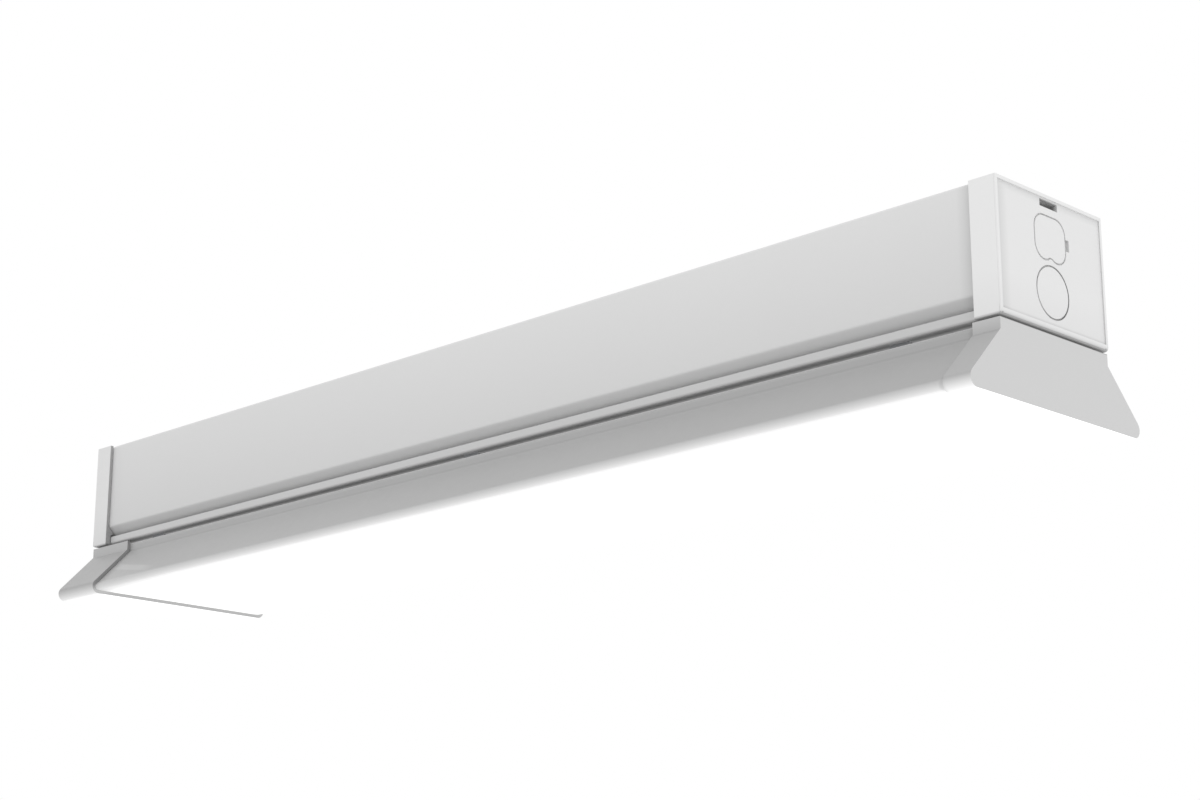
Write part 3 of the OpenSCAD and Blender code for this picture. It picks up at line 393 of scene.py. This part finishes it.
def metal(name, colour, rough):
    """Plated, dyed or rolled metal, with the fine lines of rolling along X."""
    s, relief = bare_metal(name, (1.0, 12.0, 12.0))
    s.paint(s.mottled(s.noise(METAL_DRIFT), colour, 0.86, 1.08))
    s.roughen(s.grade(relief, rough - 0.08, rough + 0.12))
    return s


def spring_strip(name, colour, rough):
    """Spring steel, with painted shade where it sits tight against the gear tray, and a faint
    painted glow on its near edge.
    """
    s = metal(name, colour, rough)
    glowing_near_edge = s.facing("X", 1.0)
    shade_by_tray = s.between(s.place("Z"), -LENS_TOP, -55.0, 1.5)
    # Painted shade by the tray; a faint painted glow on the near edge.
    s.dim(s.product(shade_by_tray, s.minus(1.0, glowing_near_edge)), 0.6)
    s.glow(s.product(glowing_near_edge, 0.1))
    return s


def galvanised(name, colour, rough):
    """Zinc-coated sheet, each crystal of the coat a shade and a gloss of its own."""
    s, _ = bare_metal(name, (3.0, 3.0, 3.0))
    crystals = s.tree.nodes.new("ShaderNodeTexVoronoi")
    crystals.inputs["Scale"].default_value = ZINC_CRYSTALS
    s.link(s.point(), crystals.inputs["Vector"])
    grain = s.part_of(crystals.outputs["Color"], "X")
    s.paint(s.mottled(grain, colour, 0.84, 1.08))
    s.roughen(s.grade(grain, rough - 0.06, rough + 0.12))
    return s


class LitAcrylic(Shader):
    """Frosted acrylic, lit from inside with that light painted on as a glow, for the lens and the
    caps that sleeve over its ends.

    The attributes are places and masks that its colour and its glow share.
    """

    def __init__(self, name):
        super().__init__(name)
        y = self.place("Y")
        self.x = self.place("X")
        self.depth = self.product(self.place("Z"), -1.0)
        self.out = self.absolute(y)
        self.hinge_side = self.rise(y, -1.0, 1.0)
        # Beside the near sleeve, where the sleeve's shadow is painted on the lens.
        self.sleeve_shadow = self.between(self.x, 289.0, 291.4, 1.2)
        self.end_face = self.larger(*[self.facing("X", sense, 0.2, 0.5) for sense in (1.0, -1.0)])
        self.outer_end = self.rise(self.absolute(self.x), 302.5, 303.5)

    def colour(self, tone, far_share, sleeve_share):
        """Gives its sides a tone with painted shade and light on it, and its end faces tones of
        their own, the inner ones in painted shade.

        far_share is the part of the tone left at the flare's far end, painted light above 1 and
        painted shade below it, and sleeve_share the part left by the near sleeve, as its painted
        shadow.
        """
        self.paint(self.mottled(self.noise(ACRYLIC_DRIFT, 2.0), tone, 0.985, 1.015))
        # Painted shade and light on the sides: along the flare towards the far end, a dark line at
        # the bend, a painted highlight in a streak, and the near sleeve's painted shadow.
        flare = self.rise(self.depth, FLARE_TOP - 0.6, FLARE_TOP + 0.6)
        bend = self.between(self.depth, FLARE_TOP - 0.5, FLARE_TOP, 0.5)
        self.dim(self.product(flare, self.fall(self.x, -300.0, 300.0)), far_share)
        self.dim(bend, 0.87)
        self.dim(self.streak(), 1.18)
        self.dim(self.sleeve_shadow, sleeve_share)
        # The inner end faces are in painted shade, and all end faces get painted shade at their top
        # edge.
        shaded_inner_face, outer_face = grey(0.3), grey(0.67)
        ends = self.mix(self.outer_end, shaded_inner_face, outer_face)
        shade_under_cap = self.along(self.depth, 0.3, 1.0, LENS_TOP - 0.6, LENS_TOP - 0.2)
        self.paint(self.mix(self.end_face, self.tone, self.scaled(ends, shade_under_cap)))

    def streak(self):
        """A slanting painted highlight, a band of light on the front flare beside the far sleeve.
        """
        slope = 0.176
        level = self.minus(self.depth, self.product(self.x, slope))
        return self.product(self.between(level, 119.4, 121.8, 0.8),
                            self.between(self.x, -260.0, -235.0, 12.0),
                            self.minus(1.0, self.hinge_side))

    def light(self, neck, top):
        """The light from inside, painted on as a glow, which fills the underside and fades up the
        flare.

        neck and top are its strengths at the neck's upper end and along the lens's top.
        """
        tilt, hinge_lift, knee = 0.35, 2.5 * MM, 69.4
        reach = self.minus(self.depth, self.product(self.out, tilt))
        reach = self.plus(reach, self.product(self.hinge_side, hinge_lift))
        foot = self.product(self.along(reach, 0.0, 0.58, 63.55, knee),
                            self.along(self.x, 0.8, 1.0, -265.0, -205.0))
        foot = self.plus(foot, self.along(reach, 0.0, 0.42, knee, knee + 2.6))
        # The near sleeve's painted shadow on the glow.
        foot = self.product(foot, self.along(self.x, 0.96, 1.07, -300.0, 300.0),
                            self.grade(self.sleeve_shadow, 1.0, 0.78))
        outside = self.grade(self.normal("Z"), 1.0, 0.0, 0.76, 0.95, smooth=True)
        upper = self.product(self.along(self.depth, neck, 0.0, LENS_TOP + 0.1, FLARE_TOP),
                             self.along(self.x, 0.3, 1.0, -200.0, 200.0))
        upper = self.plus(upper, self.along(self.depth, top, 0.0, LENS_TOP + 0.3, LENS_TOP + 1.0))
        lips = self.product(self.along(self.out, 0.05, 0.0, 33.2, 33.8),
                            self.fall(self.depth, FLARE_TOP - 1.0, FLARE_TOP + 1.0))
        sides = self.plus(self.product(foot, outside), self.larger(upper, lips))
        sides = self.product(sides, self.minus(1.0, self.end_face))
        inner_ends = self.product(self.along(reach, 0.0, 0.24, 64.5, 68.0),
                                  self.along(reach, 1.0, 0.6, 70.0, 73.0),
                                  self.minus(self.end_face, self.outer_end))
        self.glow(self.plus(sides, self.larger(inner_ends, 0.0)))

    def texture(self):
        """An uneven gloss, fine frosting and the lines that the die leaves along X."""
        self.roughen(self.grade(self.noise(ACRYLIC_GLOSS), 0.3, 0.42))
        die_lines = self.noise(DIE_LINES, 3.0, 0.5, self.stretched((0.01, 1.0, 1.0)))
        self.bump(self.plus(die_lines, self.noise(FROST_GRAIN, 2.0)), 0.15, RELIEF_HEIGHT)


def lens_acrylic():
    s = LitAcrylic("frosted_lens")
    s.colour(grey(0.415), far_share=1.08, sleeve_share=0.9)
    s.light(neck=0.0, top=0.25)
    s.texture()
    return s


def lens_cap_acrylic():
    s = LitAcrylic("frosted_lens_cap")
    s.colour(grey(0.44), far_share=0.86, sleeve_share=1.0)
    s.light(neck=0.09, top=0.0)
    s.texture()
    return s


def solder_mask(name, colour):
    """Board lacquer, a little proud and paler over the copper between one LED and the next."""
    s = tinted(name, colour, 0.35)
    step = s.math("PINGPONG", s.minus(s.absolute(s.place("X")), LED_FIRST), LED_PITCH / 2)
    copper = s.product(s.between(s.absolute(s.place("Y")), -1.0, 7.2, 0.15),
                       s.rise(step, 0.5, 0.65))
    s.dim(s.minus(1.0, copper), 0.95)
    s.bump(s.plus(copper, s.product(s.noise(BOARD_GRAIN, 2.0), 0.2)), 0.5, GRAIN_HEIGHT)
    return s


def phosphor():
    """The LEDs' yellow silicone, lit."""
    s = coated("led_phosphor", (0.86, 0.66, 0.22), 0.3)
    light = s.mix(s.noise(PHOSPHOR_GRAIN), (0.9, 0.72, 0.4), (1.0, 0.86, 0.56))
    s.link(light, s.bsdf.inputs["Emission Color"])
    s.set(Emission_Strength=0.5)
    return s


INSULATION = {
    "green_insulation": (0.03, 0.26, 0.06),
    "black_insulation": grey(0.018),
    "white_insulation": grey(0.74),
    "red_insulation": (0.45, 0.02, 0.015),
    "blue_insulation": (0.02, 0.05, 0.34),
}


def plastic(name, colour, rough):
    return coated(name, colour, rough, PLASTIC_GRAIN)


def make_materials():
    """The material of each slot in the record."""
    m = {
        "channel_paint": channel_paint(),
        "tray_paint": tray_paint(),
        "cap_plastic": cap_plastic(),
        "zinc_steel": metal("zinc_plated_steel", (0.62, 0.63, 0.64), 0.32),
        "spring_steel": spring_strip("spring_steel", (0.6, 0.61, 0.63), 0.33),
        "driver_steel": galvanised("galvanised_steel", (0.6, 0.61, 0.62), 0.42),
        "green_board": coated("solder_mask_green", (0.02, 0.16, 0.06), 0.3, BOARD_GRAIN, 0.1),
        "white_board": solder_mask("solder_mask_white", grey(0.78)),
        "component_plastic": coated("component_bodies", (0.62, 0.43, 0.06), 0.35),
        "led_phosphor": phosphor(),
        "terminal_plastic": plastic("pale_grey_plastic", (0.62, 0.62, 0.58), 0.42),
        "orange_plastic": plastic("orange_plastic", (0.66, 0.2, 0.02), 0.36),
        "green_plastic": plastic("green_plastic", (0.04, 0.27, 0.06), 0.36),
        "green_screw": metal("green_dyed_steel", (0.05, 0.34, 0.1), 0.34),
        "lug_brass": metal("tinned_brass", (0.62, 0.57, 0.42), 0.3),
        "black_plastic": plastic("black_plastic", grey(0.025), 0.45),
        "black_rubber": coated("black_rubber", grey(0.02), 0.65, RUBBER_GRAIN, 0.4),
        "lens_acrylic": lens_acrylic(),
        "lens_cap_acrylic": lens_cap_acrylic(),
    }
    for slot, colour in INSULATION.items():
        m[slot] = coated(slot, colour, 0.4, INSULATION_GRAIN, 0.1)
    return {slot: s.material for slot, s in m.items()}


# Pieces

SHARP_ANGLE, SMOOTH_ANGLE, FLAT_ANGLE = math.radians(28.0), math.radians(50.0), math.radians(0.5)
BEVEL_SEGMENTS = 2
NORMAL_WEIGHT = 90
WELD_DISTANCE, DEGENERATE_DISTANCE = 2e-6, 1e-7

# How wide the rounding of each node's sharp edges is. The nodes not named keep theirs.
EDGE_WIDTHS = {
    "channel": 0.12 * MM,
    "left_end_cap": 0.3 * MM,
    "right_end_cap": 0.3 * MM,
    "gear_tray": 0.1 * MM,
    "lens": 0.1 * MM,
    "left_lens_cap": 0.15 * MM,
    "right_lens_cap": 0.15 * MM,
    "driver_case": 0.3 * MM,
    "driver_base": 0.1 * MM,
    "terminal_block": 0.25 * MM,
    "ground_lever": 0.25 * MM,
    "line_lever": 0.25 * MM,
    "neutral_lever": 0.25 * MM,
    "board_connector": 0.2 * MM,
    "board_bridge": 0.25 * MM,
    "wire_saddles": 0.25 * MM,
}


def shown(name, bm, slot, body, width=0.0):
    """A piece from a mesh, riding on a body, its sharp edges rounded where a width is given."""
    if width:
        sharp = [e for e in bm.edges if len(e.link_faces) == 2
                 and e.calc_face_angle(0.0) > SHARP_ANGLE]
        bmesh.ops.bevel(bm, geom=sharp, offset=width, offset_type="OFFSET",
                        segments=BEVEL_SEGMENTS, profile=0.5, affect="EDGES", clamp_overlap=True)
        bmesh.ops.dissolve_degenerate(bm, dist=DEGENERATE_DISTANCE, edges=bm.edges)
    mesh = bpy.data.meshes.new(name)
    bm.to_mesh(mesh)
    bm.free()
    mesh.polygons.foreach_set("use_smooth", [True] * len(mesh.polygons))
    mesh.set_sharp_from_angle(angle=SMOOTH_ANGLE)
    piece = bpy.data.objects.new(name, mesh)
    bpy.context.scene.collection.objects.link(piece)
    weighted = piece.modifiers.new("face_weighted_normals", "WEIGHTED_NORMAL")
    weighted.keep_sharp = True
    weighted.weight = NORMAL_WEIGHT
    mesh.materials.append(materials[slot])
    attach(piece, body)
    return piece


def welded(node):
    bm = bmesh.new()
    bm.from_mesh(frame["nodes"][node].data)
    bmesh.ops.remove_doubles(bm, verts=bm.verts, dist=WELD_DISTANCE)
    return bm


def refined(node, width):
    """A copy of a node's mesh, its flat faces joined up, which stands for the node."""
    bm = welded(node)
    bmesh.ops.dissolve_limit(bm, angle_limit=FLAT_ANGLE, verts=bm.verts, edges=bm.edges)
    piece = shown(node + "_finish", bm, SLOT_OF[node], BODY_OF[node], width)
    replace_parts(piece, node)


def islands(node):
    """Lowest and highest corner of each separate solid in a node."""
    bm = welded(node)
    seen, boxes = set(), []
    for start in bm.verts:
        if start in seen:
            continue
        seen.add(start)
        waiting, group = [start], []
        while waiting:
            vert = waiting.pop()
            group.append(vert.co.copy())
            near = [e.other_vert(vert) for e in vert.link_edges]
            waiting += [v for v in near if v not in seen]
            seen.update(near)
        low = Vector([min(c[i] for c in group) for i in range(3)])
        high = Vector([max(c[i] for c in group) for i in range(3)])
        boxes.append((low, high))
    bm.free()
    return boxes


def block(bm, low, high):
    """A closed box, whose six faces are returned, the lowest first."""
    levels = itertools.product((low.z, high.z), (low.y, high.y), (low.x, high.x))
    verts = [bm.verts.new((x, y, z)) for z, y, x in levels]
    sides = ((0, 2, 3, 1), (4, 5, 7, 6), (0, 1, 5, 4), (2, 6, 7, 3), (0, 4, 6, 2), (1, 3, 7, 5))
    faces = [bm.faces.new([verts[i] for i in side]) for side in sides]
    for face in faces:
        face.normal_update()
    return faces


def led_parts(node):
    """Each LED as a white body with a sunk window, the phosphor in it, and solder at both ends."""
    rim, slope, sunk = 0.3 * MM, 0.12 * MM, 0.22 * MM
    window_under, window_over = 0.08 * MM, 0.02 * MM
    fillet, climb_share, half_share = 0.9 * MM, 0.45, 0.8
    bodies, windows, joints = bmesh.new(), bmesh.new(), bmesh.new()
    for low, high in islands(node):
        down = [block(bodies, low, high)[0]]
        for thickness, depth in ((rim, 0.0), (slope, -sunk)):
            bmesh.ops.inset_individual(bodies, faces=down, thickness=thickness, depth=depth,
                                       use_even_offset=True)
        inner = Vector((rim + slope, rim + slope, 0.0))
        level = low.z + sunk
        window_low = Vector((*(low + inner).xy, level - window_under))
        window_high = Vector((*(high - inner).xy, level + window_over))
        block(windows, window_low, window_high)
        climb = climb_share * (high.z - low.z)
        for end, run in ((low.x, -fillet), (high.x, fillet)):
            solder(joints, end, run, high.z, climb, half_share * high.y)
    body = BODY_OF[node]
    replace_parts(shown("led_bodies", bodies, "white_board", body, 0.05 * MM), node)
    shown("led_windows", windows, SLOT_OF[node], body, 0.03 * MM)
    shown("led_solder_joints", joints, "zinc_steel", body, 0.04 * MM)


def solder(bm, start, run, board, climb, half):
    """A hollow fillet of solder from the board up an LED's end, over a width of twice half."""
    steps, thin = 5, 0.03 * MM
    turns = [math.pi / 2 * i / steps for i in range(steps + 1)]
    arc = [(start + run * (1.0 - math.sin(t)), board - climb * (1.0 - math.cos(t)) - thin)
           for t in turns]
    outline = [(start, board), (start, arc[-1][1]), *reversed(arc[:-1]), (start + run, board)]
    near, far = [[bm.verts.new((x, y, z)) for x, z in outline] for y in (-half, half)]
    made = []
    for i in range(len(outline)):
        j = (i + 1) % len(outline)
        made.append(bm.faces.new((near[i], near[j], far[j], far[i])))
    made += [bm.faces.new(near[::-1]), bm.faces.new(far)]
    bmesh.ops.recalc_face_normals(bm, faces=made)


# Stage and light

FLOOR_HALF, FLOOR_LEVEL = 6.0, -2.4
LIGHT_STRENGTH = 0.96
WHITE = (1.0, 1.0, 1.0, 1.0)


def white_to_camera(tree, plain, white, surface):
    """Leads a shader to the surface, but white to the camera, which sees it directly, in a
    mirror or through glass. Other rays meet the plain shader."""
    path = tree.nodes.new("ShaderNodeLightPath")
    seen = path.outputs["Is Camera Ray"]
    for ray in ("Is Glossy Ray", "Is Transmission Ray"):
        either = tree.nodes.new("ShaderNodeMath")
        either.operation = "MAXIMUM"
        tree.links.new(seen, either.inputs[0])
        tree.links.new(path.outputs[ray], either.inputs[1])
        seen = either.outputs[0]
    both = tree.nodes.new("ShaderNodeMixShader")
    tree.links.new(seen, both.inputs[0])
    tree.links.new(plain, both.inputs[1])
    tree.links.new(white, both.inputs[2])
    tree.links.new(both.outputs[0], surface)


def make_floor():
    """A pale floor a room's height below the ceiling face, white to the camera."""
    bm = bmesh.new()
    corners = ((-1, -1), (1, -1), (1, 1), (-1, 1))
    bm.faces.new([bm.verts.new((FLOOR_HALF * x, FLOOR_HALF * y, FLOOR_LEVEL)) for x, y in corners])
    mesh = bpy.data.meshes.new("floor")
    bm.to_mesh(mesh)
    bm.free()
    floor = bpy.data.objects.new("floor", mesh)
    bpy.context.scene.collection.objects.link(floor)
    s = Shader("pale_floor")
    s.set(Roughness=0.8)
    s.paint(s.mix(s.noise(FLOOR_DRIFT), grey(0.8), grey(0.84)))
    white = s.tree.nodes.new("ShaderNodeEmission")
    white.inputs["Color"].default_value = WHITE
    white_to_camera(s.tree, s.bsdf.outputs[0], white.outputs[0], s.out.inputs["Surface"])
    mesh.materials.append(s.material)


def make_world():
    """Even light all round, white to the camera."""
    world = bpy.data.worlds.new("white_room")
    world.use_nodes = True
    bpy.context.scene.world = world
    tree = world.node_tree
    tree.nodes.clear()
    out = tree.nodes.new("ShaderNodeOutputWorld")
    light = tree.nodes.new("ShaderNodeBackground")
    light.inputs["Color"].default_value = WHITE
    light.inputs["Strength"].default_value = LIGHT_STRENGTH
    white = tree.nodes.new("ShaderNodeBackground")
    white.inputs["Color"].default_value = WHITE
    white_to_camera(tree, light.outputs[0], white.outputs[0], out.inputs["Surface"])


make_camera()
materials = make_materials()
for name in frame["nodes"]:
    if name == "led_packages":
        led_parts(name)
    else:
        refined(name, EDGE_WIDTHS.get(name, 0.0))
make_floor()
make_world()
bpy.context.scene.view_settings.view_transform = "Standard"
